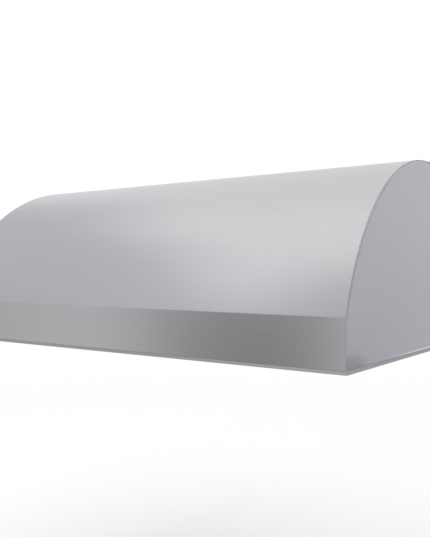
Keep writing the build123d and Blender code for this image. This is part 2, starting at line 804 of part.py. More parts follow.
# Blower housings: sheet scrolls with the inlet outside, the wheel's opening inside, an outlet plate
housing_half = housing_width / 2
with BuildPart() as right_housing:
    with BuildSketch(wheel_plane(-housing_half)):
        with BuildLine():
            scroll_outline(0, outlet_top)
        make_face()
    extrude(amount=housing_width)
    with BuildSketch(wheel_plane(0)):
        with Locations(((tongue_y + outlet_rear) / 2, outlet_top)):
            Rectangle(outlet_plate_side, outlet_plate_sheet, align=(Align.CENTER, Align.MAX))
    extrude(amount=outlet_plate_side / 2, both=True)
    with BuildSketch(wheel_plane(-housing_half + housing_sheet)):
        with BuildLine():
            scroll_outline(housing_sheet, outlet_top + housing_sheet)
        make_face()
    extrude(amount=housing_width - 2 * housing_sheet, mode=Mode.SUBTRACT)
    with BuildSketch(wheel_plane(-housing_half)):
        Circle(wheel_radius + wheel_hole_gap)
    extrude(amount=housing_sheet, mode=Mode.SUBTRACT)
    with BuildSketch(wheel_plane(housing_half)):
        Circle(inlet_radius + sheet + inlet_side_gap)
    extrude(amount=-housing_sheet, mode=Mode.SUBTRACT)
save_pair(right_housing.part, "blower_housing")

# Inlet rings: flanged throats on the housings' outer sides that lead the air into the wheels
throat_end = wheel_width / 2 + inlet_wheel_gap
with BuildPart() as right_inlet:
    with BuildSketch(wheel_plane(throat_end)):
        Circle(inlet_radius + sheet)
        Circle(inlet_radius, mode=Mode.SUBTRACT)
    extrude(amount=housing_half + sheet - throat_end)
    with BuildSketch(wheel_plane(housing_half)):
        Circle(inlet_radius + sheet + inlet_flange)
        Circle(inlet_radius, mode=Mode.SUBTRACT)
    extrude(amount=sheet)
save_pair(right_inlet.part, "inlet_ring")

# Motor plates: discs that close the wheels' openings and carry the motors
motor_face = -housing_half - motor_plate_thick
with BuildPart() as right_motor_plate:
    with BuildSketch(wheel_plane(motor_face)):
        Circle(wheel_radius + wheel_hole_gap + motor_plate_lap)
        Circle(shaft_radius + shaft_hole_gap, mode=Mode.SUBTRACT)
    extrude(amount=motor_plate_thick)
save_pair(right_motor_plate.part, "motor_plate")

# Motors: ribbed round cases on the plates, with a bearing bore for the shaft
motor_end = motor_face - motor_length
with BuildPart() as right_motor:
    with BuildSketch(wheel_plane(motor_end)):
        Circle(motor_radius)
    extrude(amount=motor_length)
    chamfer(edges().group_by(Axis.X)[0], motor_chamfer)
    rib_step = (motor_length - 2 * motor_chamfer) / motor_rib_count
    for rib in range(motor_rib_count):
        rib_middle = motor_end + motor_chamfer + (rib + 0.5) * rib_step
        with BuildSketch(wheel_plane(rib_middle)):
            Circle(motor_radius)
            Circle(motor_radius - motor_rib_depth, mode=Mode.SUBTRACT)
        extrude(amount=motor_rib_width / 2, both=True, mode=Mode.SUBTRACT)
    with BuildSketch(wheel_plane(motor_face)):
        Circle(shaft_radius + running_gap)
    extrude(amount=-motor_bore_depth, mode=Mode.SUBTRACT)
save_pair(right_motor.part, "motor")

# Motor shafts: from the motors' bores to the ends of the wheels' hubs
hub_start = -wheel_width / 2
with BuildPart() as right_shaft:
    with BuildSketch(wheel_plane(motor_face - motor_bore_depth + shaft_end_room)):
        Circle(shaft_radius)
    extrude(amount=hub_start + hub_length - motor_face + motor_bore_depth - shaft_end_room)
save_pair(right_shaft.part, "motor_shaft")

# Impellers: squirrel-cage wheels of bowed blades between a back disc with a hub and an end ring
blade_middle = (wheel_inner_radius + wheel_radius) / 2
with BuildSketch() as blade_section:
    with BuildLine():
        ThreePointArc((wheel_inner_radius, 0), (blade_middle, blade_bow), (wheel_radius - blade_sheet, 0))
    trace(line_width=blade_sheet)
with BuildPart() as right_impeller:
    with BuildSketch(wheel_plane(hub_start)):
        Circle(wheel_radius)
    extrude(amount=wheel_disc)
    with BuildSketch(wheel_plane(hub_start)):
        Circle(hub_radius)
    extrude(amount=hub_length)
    with BuildSketch(wheel_plane(hub_start)):
        with PolarLocations(0, blade_count):
            add(blade_section.sketch)
    extrude(amount=wheel_width)
    with BuildSketch(wheel_plane(-hub_start)):
        Circle(wheel_radius)
        Circle(wheel_inner_radius, mode=Mode.SUBTRACT)
    extrude(amount=-wheel_disc)
    with BuildSketch(wheel_plane(hub_start)):
        Circle(shaft_radius + hub_fit)
    extrude(amount=hub_length, mode=Mode.SUBTRACT)
save_pair(right_impeller.part, "impeller")

# Junction box: open-fronted box on the back panel, with its cover and the conduit bushing
box_front_y = -sheet - box_depth
with BuildPart() as junction_box:
    with BuildSketch(Plane.XZ.offset(sheet)):
        with Locations((0, box_z)):
            RectangleRounded(box_width, box_height, box_round)
    extrude(amount=box_depth)
    offset(amount=-sheet, openings=faces().sort_by(Axis.Y)[0])
    with BuildSketch(Plane.XZ.offset(sheet)):
        with Locations((0, box_z)):
            Circle(conduit_hole_radius)
    extrude(amount=sheet, mode=Mode.SUBTRACT)
save(junction_box.part, "junction_box")
with BuildPart() as junction_cover:
    with BuildSketch(Plane.XZ.offset(-box_front_y)):
        with Locations((0, box_z)):
            RectangleRounded(box_width + 2 * cover_lap, box_height + 2 * cover_lap, box_round)
    extrude(amount=sheet)
save(junction_cover.part, "junction_cover")
with BuildPart() as conduit_bushing:
    with BuildSketch(Plane.XZ):
        with Locations((0, box_z)):
            Circle(conduit_hole_radius - bushing_fit)
    extrude(amount=2 * sheet + bushing_flange_thick)
    with BuildSketch(Plane.XZ.offset(2 * sheet)):
        with Locations((0, box_z)):
            Circle(bushing_flange_radius)
    extrude(amount=bushing_flange_thick)
    with BuildSketch(Plane.XZ):
        with Locations((0, box_z)):
            Circle(bushing_bore_radius)
    extrude(amount=2 * sheet + bushing_flange_thick, mode=Mode.SUBTRACT)
save(conduit_bushing.part, "conduit_bushing")

# Wiring: leads from the junction box to the motors and the controls, and on to the lamps
lead_y = -sheet - box_depth / 2
lead_x = box_width / 2
motor_lead_x = lead_x + motor_lead_out
control_top = panel_z + sheet + switch_height
lamp_lead_level = panel_z + sheet + lamp_lead_z
lamp_lead_y = fitting_y + lamp_lead_back
light_x = knob_spots[1][0]
lamp_wall = can_inner_radius + can_wall
motor_routes = [
    [
        (side * lead_x, lead_y, box_z),
        (side * motor_lead_x, lead_y, box_z),
        (side * motor_lead_x, blower_y, box_z),
        (side * motor_lead_x, blower_y, blower_z),
        (side * (collar_x + motor_end), blower_y, blower_z),
    ]
    for side in (-1, 1)
]
control_routes = [
    [
        (x, lead_y, box_z - box_height / 2),
        (x, lead_y, control_lead_z),
        (x, y, control_lead_z),
        (x, y, control_top),
    ]
    for x, y in knob_spots
]
far_lamp_route = [
    (light_x, fitting_y + switch_side / 2, lamp_lead_level),
    (light_x, lamp_lead_y, lamp_lead_level),
    (-lamp_spacing / 2, lamp_lead_y, lamp_lead_level),
    (-lamp_spacing / 2, fitting_y + lamp_wall, lamp_lead_level),
]
near_lamp_run = (
    (light_x + switch_side / 2, fitting_y, lamp_lead_level),
    (lamp_spacing / 2 - lamp_wall, fitting_y, lamp_lead_level),
)
with BuildPart() as wiring:
    for route in motor_routes + control_routes + [far_lamp_route]:
        bend = lamp_lead_bend if route is far_lamp_route else lead_bend
        with BuildLine() as lead:
            FilletPolyline(*route, radius=bend)
        with BuildSketch(Plane(origin=lead.line @ 0, z_dir=lead.line % 0)):
            Circle(lead_radius)
        sweep(path=lead.line)
    with BuildLine() as straight_lead:
        Line(*near_lamp_run)
    with BuildSketch(Plane(origin=near_lamp_run[0], z_dir=(1, 0, 0))):
        Circle(lead_radius)
    sweep(path=straight_lead.line)
save(wiring.part, "wiring")

# Screws: round-headed, through the top plate into the side panels and through the collar flanges
for spots, seat, name in (
    (top_screw_spots, hood_height, "top_screws"),
    (collar_screw_spots, hood_height + sheet, "collar_screws"),
):
    with BuildPart() as screws:
        with BuildSketch(Plane.XY.offset(seat)):
            with Locations(*spots):
                Circle(screw_head_radius)
        extrude(amount=screw_head_height)
        fillet(edges().group_by(Axis.Z)[-1], screw_head_round)
        with BuildSketch(Plane.XY.offset(seat)):
            with Locations(*spots):
                Circle(screw_shank_radius)
        extrude(amount=-screw_shank_length)
    save(screws.part, name)
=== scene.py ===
from math import asin, atan2, cos, hypot, pi, radians, sin, sqrt

import bmesh
import bpy
from mathutils import Matrix, Vector


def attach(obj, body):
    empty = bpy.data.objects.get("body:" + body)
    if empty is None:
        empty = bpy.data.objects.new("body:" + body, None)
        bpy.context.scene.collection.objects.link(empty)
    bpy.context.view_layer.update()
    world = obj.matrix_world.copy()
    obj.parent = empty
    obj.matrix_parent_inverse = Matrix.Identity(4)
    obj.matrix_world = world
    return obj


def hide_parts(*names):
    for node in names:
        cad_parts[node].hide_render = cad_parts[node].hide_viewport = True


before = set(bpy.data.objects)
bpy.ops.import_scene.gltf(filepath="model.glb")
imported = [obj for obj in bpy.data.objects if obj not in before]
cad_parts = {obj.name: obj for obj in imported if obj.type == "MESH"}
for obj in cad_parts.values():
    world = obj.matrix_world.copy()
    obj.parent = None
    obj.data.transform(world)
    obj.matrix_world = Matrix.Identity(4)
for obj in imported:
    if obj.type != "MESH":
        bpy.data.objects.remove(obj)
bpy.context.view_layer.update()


# Back panel: the flat stainless sheet that lies on the wall, left as it came from the mill. It is
# punched for four wall bolts and for the supply cable, and the other sheets are screwed to it.
class Wire:
    """An output of a finish's nodes. Arithmetic on wires adds Math nodes, and add() any other node."""

    def __init__(self, tree, socket=None):
        self.tree = tree
        self.socket = socket

    def add(self, kind, settings=None, values=None, output=0):
        """Add a node with its settings and the values or links of its sockets."""
        node = self.tree.nodes.new("ShaderNode" + kind)
        for name, value in (settings or {}).items():
            setattr(node, name, value)
        self.feed(node, values or {})
        return Wire(self.tree, node.outputs[output])

    def feed(self, node, values):
        for name, value in values.items():
            if isinstance(value, Wire):
                self.tree.links.new(value.socket, node.inputs[name])
            else:
                node.inputs[name].default_value = value

    def maths(self, operation, first, second=0.0):
        return self.add("Math", {"operation": operation}, {0: first, 1: second})

    def __add__(self, other):
        return self.maths("ADD", self, other)

    def __radd__(self, other):
        return self.maths("ADD", other, self)

    def __sub__(self, other):
        return self.maths("SUBTRACT", self, other)

    def __rsub__(self, other):
        return self.maths("SUBTRACT", other, self)

    def __mul__(self, other):
        return self.maths("MULTIPLY", self, other)

    def __rmul__(self, other):
        return self.maths("MULTIPLY", other, self)

    def __abs__(self):
        return self.maths("ABSOLUTE", self)

    def least(self, other):
        return self.maths("MINIMUM", self, other)

    def most(self, other):
        return self.maths("MAXIMUM", self, other)

    def root(self):
        return self.maths("SQRT", self)

    def rise(self, low, high):
        """0 below low, 1 above high and a smooth step between them."""
        step = {"Value": self, "From Min": low, "From Max": high}
        return self.add("MapRange", {"interpolation_type": "SMOOTHSTEP"}, step)

    def tone(self, first, second):
        """A colour that goes from the first, where this is 0, to the second, where it is 1."""
        ends = [end if isinstance(end, Wire) else (*end, 1) for end in (first, second)]
        return self.add("Mix", {"data_type": "RGBA"}, {0: self, 6: ends[0], 7: ends[1]}, 2)

    def relief(self, strength, depth):
        """A surface direction that makes this look raised."""
        return self.add("Bump", values={"Strength": strength, "Distance": depth, "Height": self})

    def point(self):
        """The place on the piece, in its own coordinates."""
        return self.add("TexCoord", output="Object")

    def split(self):
        """The x, y and z of a point."""
        return [self.add("SeparateXYZ", values={0: self}, output=axis) for axis in range(3)]


def new_finish(name, plain):
    """A material, the wire that its nodes start from and its shader, with the plain values set."""
    finish = bpy.data.materials.new(name)
    finish.use_nodes = True
    shader = finish.node_tree.nodes["Principled BSDF"]
    wire = Wire(finish.node_tree)
    wire.feed(shader, plain)
    return finish, wire, shader


def grain_noise(wire, stretch, detail=3.0):
    """Noise on the piece's own coordinates, so many to a metre along each axis."""
    spread = wire.add("VectorMath", {"operation": "MULTIPLY"}, {0: wire.point(), 1: stretch})
    return wire.add("TexNoise", values={"Vector": spread, "Scale": 1.0, "Detail": detail})


def steel_sheet(name, tint, roughness, grain, contrast=0.05, anisotropy=0.0):
    """Sheet steel with fine lines and wider streaks along its grain, and a faint cloudiness."""
    streak_size, cloud_size = 0.12, (2.3, 2.3, 2.3)
    line_share, streak_share, cloud_share = 0.45, 0.30, 0.25
    line_dullness, cloud_dullness = 0.08, 0.04
    finish, wire, shader = new_finish(name, {
        "Metallic": 1.0, "Anisotropic": anisotropy, "Anisotropic Rotation": 0.25})
    lines = grain_noise(wire, grain)
    streaks = grain_noise(wire, [size * streak_size for size in grain])
    clouds = grain_noise(wire, cloud_size, 2.0)
    mixed = lines * line_share + streaks * streak_share + clouds * cloud_share
    dark = [value * (1 - contrast) for value in tint]
    light = [value * (1 + contrast) for value in tint]
    smoothest = roughness - (line_dullness + cloud_dullness) / 2
    wire.feed(shader, {
        "Base Color": mixed.rise(0.3, 0.7).tone(dark, light),
        "Roughness": smoothest + lines * line_dullness + clouds * cloud_dullness,
        "Normal": lines.relief(0.04, 0.0002),
    })
    return finish


def coat(finish, *nodes):
    """Give CAD nodes a finish."""
    for node in nodes:
        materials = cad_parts[node].data.materials
        materials.clear()
        materials.append(finish)


mill_steel = steel_sheet("mill_steel", tint=(0.55, 0.55, 0.565), roughness=0.40, grain=(160, 160, 5),
                         contrast=0.06)
coat(mill_steel, "back_panel")


# Side panels: flat pans of brushed stainless, folded in all round with a small bend, so that the
# barrel's cut edge lies on the folded flange. They are screwed to the back panel through the flange.
sheet = 0.0012
hood_half, hood_front, hood_top = 0.6096, -0.762, 0.448
barrel_radius, band_top, rim_top = 0.467, 0.106, 0.0075
barrel_height = hood_top - barrel_radius
barrel_back = hood_front + sqrt(barrel_radius**2 - (band_top - barrel_height) ** 2)
barrel_steps = 120
pan_inset, pan_flange, pan_bend, pan_bend_steps = 0.00125, 0.018, 0.0040, 6
# Points closer than this are taken to be the same.
touching = 1e-6


def end_curve(shape, x, inset):
    """Draw the barrel's arc at x, moved in by inset, and give its vertices at the top and at the band."""
    radius = barrel_radius - inset
    top = shape.verts.new((x, barrel_back, barrel_height + radius))
    turn = asin((barrel_back - hood_front - inset) / radius)
    centre = (x, barrel_back, barrel_height)
    arc = bmesh.ops.spin(shape, geom=[top], cent=centre, axis=(1, 0, 0), angle=turn, steps=barrel_steps)
    return top, arc["geom_last"][0]


def draw_on(shape, vertex, y, z):
    """Draw a straight edge from a vertex to another y and z."""
    end = bmesh.ops.extrude_vert_indiv(shape, verts=[vertex])["verts"][0]
    end.co.y, end.co.z = y, z
    return end


def fold(shape, edges, shift):
    """Fold a strip out of open edges, as far as shift says, and give its new corners."""
    strip = bmesh.ops.extrude_edge_only(shape, edges=edges)["geom"]
    corners = [part for part in strip if isinstance(part, bmesh.types.BMVert)]
    bmesh.ops.translate(shape, verts=corners, vec=shift)
    return corners


def edges_where(shape, test):
    """The edges whose ends both pass a test of their place."""
    return [edge for edge in shape.edges if all(test(vertex.co) for vertex in edge.verts)]


def round_edges(shape, edges, radius, segments):
    bmesh.ops.bevel(shape, geom=edges, offset=radius, affect="EDGES", segments=segments, profile=0.5,
                    material=-1, clamp_overlap=True)


def thicken(shape, outward):
    """Give a skin its sheet's thickness on the inside; outward points out of its widest face."""
    bmesh.ops.remove_doubles(shape, verts=shape.verts[:], dist=touching)
    bmesh.ops.recalc_face_normals(shape, faces=shape.faces[:])
    shape.normal_update()
    widest = max(shape.faces, key=lambda face: face.calc_area())
    if widest.normal.dot(Vector(outward)) < 0:
        bmesh.ops.reverse_faces(shape, faces=shape.faces[:])
    shape.normal_update()
    bmesh.ops.solidify(shape, geom=shape.faces[:], thickness=sheet)


def new_object(shape, name, finish):
    """Turn a finished shape into an object in the scene."""
    mesh = bpy.data.meshes.new(name)
    shape.to_mesh(mesh)
    shape.free()
    mesh.materials.append(finish)
    made = bpy.data.objects.new(name, mesh)
    bpy.context.scene.collection.objects.link(made)
    return made


def make_piece(shape, name, finish, node, body="hood", sharp=32):
    """Turn a finished shape into a piece that stands for a CAD node and rides on its body."""
    piece = new_object(shape, name, finish)
    piece.data.shade_smooth()
    piece.data.set_sharp_from_angle(angle=radians(sharp))
    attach(piece, body)
    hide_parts(node)
    return piece


def brush_along(mesh, far_point):
    """Lay the grain of a brushed sheet across the line to a far point, level all over the sheet."""
    mesh.use_auto_texspace = False
    mesh.texspace_location = far_point
    mesh.texspace_size = (1, 1, 1)


def tint_where(finish, place, colour):
    """Tint a finish where place, made from the piece's own coordinates, is above 0."""
    wire = Wire(finish.node_tree)
    shader = finish.node_tree.nodes["Principled BSDF"]
    mask = place(*wire.point().split())
    plain = Wire(finish.node_tree, shader.inputs["Base Color"].links[0].from_socket)
    wire.feed(shader, {"Base Color": mask.tone(plain, colour)})


def painted_corner_shade(x, y, z):
    """Painted shade that fades out round the lower front corner, where the rim is welded on."""
    setback, flatness, reach, strength = 0.006, 8, 0.011, 0.47
    back, up = y - (hood_front + setback), z - rim_top
    return (1 - (back * back + up * up * flatness).rise(0.0, reach)) * strength


def below_top(z):
    """1 on the lower part of the seam between barrel and pan, and 0 near its top."""
    return 1 - z.rise(0.34, 0.41)


def painted_seam_shade(x, y, z):
    """Painted shade line on the bend that the barrel's cut edge lies against, fading out at the top."""
    inner, outer, strength = 0.0056, 0.0036, 0.3
    back = (y - barrel_back).least(0)
    up = z - barrel_height
    inside = barrel_radius - (back * back + up * up).root()
    nearest = inside.least(y - hood_front)
    return (1 - nearest.rise(outer, inner)) * below_top(z) * strength


def painted_foot_highlight(x, y, z):
    """Painted highlight on the lower bend, brighter towards the wall."""
    highlight_full, brushed, front, back = rim_top + 0.0030, rim_top + 0.0060, -0.66, -0.36
    return (1 - z.rise(highlight_full, brushed)) * y.rise(front, back)


skin_tint, skin_roughness, skin_contrast, skin_anisotropy = (0.628, 0.625, 0.634), 0.28, 0.02, 0.6
side_brushed = steel_sheet("side_brushed", skin_tint, skin_roughness, (1500, 1.5, 1500), skin_contrast,
                           skin_anisotropy)
# Painted shade darkening the pans round their lower front corners.
tint_where(side_brushed, painted_corner_shade, (0.30, 0.29, 0.30))
# Painted shade along the bend under the barrel's cut edge, lighter towards the top.
tint_where(side_brushed, painted_seam_shade, (0.25, 0.25, 0.26))
# Painted highlight on the pans' lower bend, growing towards the wall.
tint_where(side_brushed, painted_foot_highlight, (0.96, 0.96, 0.97))
for side, hand in ((-1, "left"), (1, "right")):
    pan = bmesh.new()
    pan_top, pan_crease = end_curve(pan, side * hood_half, pan_inset)
    corner = draw_on(pan, pan_crease, hood_front + pan_inset, rim_top)
    corner = draw_on(pan, corner, -sheet, rim_top)
    corner = draw_on(pan, corner, -sheet, pan_top.co.z)
    pan.edges.new((corner, pan_top))
    outline = pan.edges[:]
    bmesh.ops.contextual_create(pan, geom=outline)
    fold(pan, outline, (-side * pan_flange, 0, 0))
    bent = edges_where(pan, lambda place: abs(place.x - side * hood_half) < touching)
    round_edges(pan, bent, pan_bend, pan_bend_steps)
    thicken(pan, (side, 0, 0))
    pan = make_piece(pan, f"side_pan_{hand}", side_brushed, f"side_panel_{hand}")
    brush_along(pan.data, (100, 0, 0))


# Base rim: a narrow angle strip in plain matt stainless round the front and both ends. It is welded
# under the pans and the front, a little set back, and a fine shadow line is painted along its top.
rim_half, rim_front, rim_foot, rim_bend, rim_bend_steps = 0.6088, -0.7612, 0.016, 0.0012, 4
rim_shadow_start, rim_shadow_full = 0.0067, 0.0072
rim_matt = steel_sheet("rim_matt", tint=(0.58, 0.58, 0.565), roughness=0.55, grain=(60, 60, 500),
                       contrast=0.04)
# Painted shadow line along the rim's top edge, under the pans and the band.
tint_where(rim_matt, lambda x, y, z: z.rise(rim_shadow_start, rim_shadow_full), (0.16, 0.16, 0.16))
rim = bmesh.new()
corner = rim.verts.new((-rim_half, -sheet, 0))
for x, y in ((-rim_half, rim_front), (rim_half, rim_front), (rim_half, -sheet)):
    corner = draw_on(rim, corner, y, 0)
    corner.co.x = x
fold(rim, rim.edges[:], (0, 0, rim_top))
foot_line = edges_where(rim, lambda place: place.z < touching)
for vertex in fold(rim, foot_line, (0, 0, 0)):
    vertex.co.x -= rim_foot if vertex.co.x > 0 else -rim_foot
    if vertex.co.y < rim_front / 2:
        vertex.co.y += rim_foot
upright = [edge for edge in edges_where(rim, lambda place: place.y < rim_front / 2)
           if abs(edge.verts[0].co.z - edge.verts[1].co.z) > rim_top / 2]
round_edges(rim, upright, rim_bend, rim_bend_steps)
thicken(rim, (0, 0, -1))
make_piece(rim, "rim_strip", rim_matt, "base_rim")


# Filter rails, dividers, catches and tray brackets: folded stainless strips inside the casing. Rails
# are spot-welded to the pans, dividers run to the back panel, and spring catches hold the filters.
liner_steel = steel_sheet("liner_steel", tint=(0.56, 0.56, 0.575), roughness=0.36, grain=(420, 6, 420),
                          contrast=0.06)
coat(liner_steel, "filter_rail_left", "filter_rail_right", "filter_divider_1", "filter_divider_2",
     "filter_catches", "tray_brackets")


# Light panel: a folded stainless sheet behind the front band. It carries the lamps and the controls,
# and its rear lip stops the filters.
panel_brushed = steel_sheet("panel_brushed", tint=(0.58, 0.58, 0.595), roughness=0.34, grain=(3, 600, 600))
coat(panel_brushed, "light_panel")


# Lamps: a spun can above the panel with a white light board at its top, a frosted glass lens in the
# panel's hole and a polished ring below that holds the lens.
lamp_x, lamp_y, panel_under = 0.330, -0.690, 0.030
lamp_steps = 96
# Profiles of turned pieces are pairs of radius and height.
ring_profile = [(0.0300, 0), (0.0300, -0.0020), (0.0306, -0.0028), (0.0318, -0.0030), (0.0385, -0.0030),
                (0.0410, -0.0024), (0.0425, -0.0012), (0.0430, 0)]
lens_profile = [(0, 0), (0.0300, 0), (0.0336, 0.0001), (0.0340, 0.0005), (0.0340, 0.0022),
                (0.0332, 0.0030), (0, 0.0030)]
chip_radius, board_radius = 0.0105, 0.0112


def turned(shape, profile, seat, steps, closed=True):
    """Turn a profile about Z, and set it on its seat."""
    before = set(shape.verts)
    line = [shape.verts.new((radius, 0, height)) for radius, height in profile]
    line_ends = line[1:] + line[:1] if closed else line[1:]
    edges = [shape.edges.new(pair) for pair in zip(line, line_ends)]
    bmesh.ops.spin(shape, geom=line + edges, cent=(0, 0, 0), axis=(0, 0, 1), angle=2 * pi,
                   steps=steps, use_merge=True)
    spun = [vertex for vertex in shape.verts if vertex not in before]
    bmesh.ops.remove_doubles(shape, verts=spun, dist=touching)
    merged = [vertex for vertex in shape.verts if vertex not in before]
    bmesh.ops.transform(shape, matrix=seat, verts=merged)
    bmesh.ops.recalc_face_normals(shape, faces=shape.faces[:])


ring_bright = steel_sheet("ring_bright", tint=(0.68, 0.68, 0.69), roughness=0.16, grain=(30, 30, 300),
                          contrast=0.03)
lens_glass, wire, shader = new_finish("lens_glass", {
    "Transmission Weight": 0.6, "IOR": 1.5, "Metallic": 0.0})
frost = grain_noise(wire, (900, 900, 900), 2.0)
wire.feed(shader, {
    "Base Color": grain_noise(wire, (40, 40, 40)).tone((0.88, 0.90, 0.91), (0.94, 0.95, 0.96)),
    "Roughness": 0.38 + frost * 0.14,
    "Normal": frost.relief(0.2, 0.0001),
})
board_white, wire, shader = new_finish("board_white", {"Metallic": 0.0})
x, y, z = wire.point().split()
off_x, off_y = abs(x) - lamp_x, y - lamp_y
off_axis = (off_x * off_x + off_y * off_y).root()
wire.feed(shader, {
    "Base Color": off_axis.rise(chip_radius, board_radius).tone((0.82, 0.66, 0.16), (0.86, 0.85, 0.82)),
    "Roughness": 0.45 + grain_noise(wire, (600, 600, 600)) * 0.15,
})
can_metal = steel_sheet("can_metal", tint=(0.62, 0.62, 0.63), roughness=0.30, grain=(25, 25, 400))
coat(can_metal, "lamp_can_left", "lamp_can_right")
coat(board_white, "lamp_boards")
for side, hand in ((-1, "left"), (1, "right")):
    seat = Matrix.Translation((side * lamp_x, lamp_y, panel_under))
    ring = bmesh.new()
    turned(ring, ring_profile, seat, lamp_steps)
    make_piece(ring, f"lens_ring_{hand}", ring_bright, f"lamp_ring_{hand}")
    lens = bmesh.new()
    turned(lens, lens_profile, seat, lamp_steps, closed=False)
    make_piece(lens, f"frosted_lens_{hand}", lens_glass, f"lamp_lens_{hand}")


# Controls: a black rotary control above the panel for the fan and one for the lamps, each with a
# turned steel knob below. The knob has a skirt, a fluted grip and a dark pointer line.
knob_x, knob_y, knob_seat, knob_height = 0.045, -0.690, 0.0295, 0.020
grip_radius, grip_margin, skirt_height = 0.016, 0.0005, 0.004
flute_count, flute_depth, flute_steps = 18, 0.0014, 10
pointer_half, pointer_back, pointer_top, pointer_blur = 0.0008, -0.0022, 0.0100, 0.0002
knob_profile = [
    (0, 0.0217), (0.0027, 0.0217), (0.0030, 0.0214), (0.0030, 0), (0.0205, 0), (0.0210, -0.0005),
    (0.0210, -0.0022), (0.0204, -0.0034), (0.0192, -0.0040), (0.0166, -0.0042), (grip_radius, -0.0050),
    (grip_radius, -0.0182), (0.0156, -0.0192), (0.0146, -0.0199), (0.0130, -knob_height),
    (0, -knob_height)]
black_plastic, wire, shader = new_finish("black_plastic", {"Metallic": 0.0})
pores = grain_noise(wire, (1500, 1500, 1500), 2.0)
wire.feed(shader, {
    "Base Color": grain_noise(wire, (50, 50, 50)).tone((0.025, 0.025, 0.027), (0.045, 0.045, 0.048)),
    "Roughness": 0.42 + pores * 0.2,
    "Normal": pores.relief(0.15, 0.0001),
})
coat(black_plastic, "fan_control", "light_control", "conduit_bushing")
knob_turned, wire, shader = new_finish("knob_turned", {"Metallic": 1.0})
x, y, z = wire.point().split()
off_x, off_y = abs(abs(x) - knob_x), y - knob_y
off_axis = (off_x * off_x + off_y * off_y).root()
rings = wire.add("TexNoise", {"noise_dimensions": "1D"}, {"W": off_axis, "Scale": 4000.0, "Detail": 2.0})
narrow = 1 - off_x.rise(pointer_half, pointer_half + pointer_blur)
ahead = 1 - off_y.rise(pointer_back, pointer_back + pointer_blur)
low = 1 - z.rise(pointer_top, pointer_top + pointer_blur)
pointer = narrow * ahead * low
steel_tone = rings.tone((0.56, 0.56, 0.575), (0.66, 0.66, 0.675))
wire.feed(shader, {
    "Base Color": pointer.tone(steel_tone, (0.02, 0.02, 0.02)),
    "Roughness": 0.22 + rings * 0.12 + pointer * 0.3,
    "Normal": rings.relief(0.1, 0.0001),
})
for side, use in ((-1, "fan"), (1, "light")):
    knob = bmesh.new()
    turned(knob, knob_profile, Matrix.Identity(4), flute_count * flute_steps, closed=False)
    for vertex in knob.verts:
        off_grip = abs(hypot(vertex.co.x, vertex.co.y) - grip_radius)
        if off_grip < grip_margin and vertex.co.z < -skirt_height:
            wave = max(0.0, cos(flute_count * atan2(vertex.co.y, vertex.co.x)))
            shrink = 1 - flute_depth * wave / grip_radius
            vertex.co.x *= shrink
            vertex.co.y *= shrink
    bmesh.ops.translate(knob, verts=knob.verts[:], vec=(side * knob_x, knob_y, knob_seat))
    make_piece(knob, f"{use}_grip", knob_turned, f"{use}_knob", f"{use}_knob")


# Blowers: two scroll housings of galvanised sheet under the ducts, each with an inlet ring, a motor on
# a round plate and a bladed aluminium wheel on the motor's shaft.
galvanised, wire, shader = new_finish("galvanised", {"Metallic": 1.0})
spangle = wire.add("TexVoronoi", values={"Vector": wire.point(), "Scale": 95.0}, output="Color")
shine = wire.add("SeparateColor", values={0: spangle}, output=0)
smear = grain_noise(wire, (14, 14, 14))
wire.feed(shader, {
    "Base Color": (shine * 0.6 + smear * 0.4).tone((0.44, 0.46, 0.48), (0.60, 0.62, 0.64)),
    "Roughness": 0.34 + shine * 0.16 + smear * 0.08,
    "Normal": shine.relief(0.08, 0.0002),
})
wheel_metal = steel_sheet("wheel_metal", tint=(0.60, 0.61, 0.63), roughness=0.38, grain=(40, 300, 300))
shaft_ground = steel_sheet("shaft_ground", tint=(0.60, 0.60, 0.61), roughness=0.22, grain=(900, 40, 40))
motor_enamel, wire, shader = new_finish("motor_enamel", {"Metallic": 0.0, "Coat Weight": 0.3})
peel = grain_noise(wire, (420, 420, 420), 2.0)
dust = grain_noise(wire, (18, 18, 18))
wire.feed(shader, {
    "Base Color": dust.rise(0.4, 0.75).tone((0.018, 0.018, 0.020), (0.045, 0.044, 0.043)),
    "Roughness": 0.34 + dust * 0.2,
    "Normal": peel.relief(0.2, 0.0002),
})
for hand in ("left", "right"):
    coat(galvanised, f"blower_housing_{hand}", f"inlet_ring_{hand}", f"motor_plate_{hand}")
    coat(motor_enamel, f"motor_{hand}")
    coat(wheel_metal, f"impeller_{hand}")
    coat(shaft_ground, f"motor_shaft_{hand}")


# Junction box and wiring: a small galvanised box on the back panel where the supply cable comes in,
# with a flat cover, and black leads from it to the motors, the controls and the lamps.
lead_jacket, wire, shader = new_finish("lead_jacket", {"Metallic": 0.0})
scuff = grain_noise(wire, (70, 70, 70))
wire.feed(shader, {
    "Base Color": scuff.tone((0.022, 0.022, 0.024), (0.05, 0.05, 0.052)),
    "Roughness": 0.48 + scuff * 0.2,
    "Normal": scuff.relief(0.1, 0.0002),
})
coat(galvanised, "junction_box", "junction_cover")
coat(lead_jacket, "wiring")


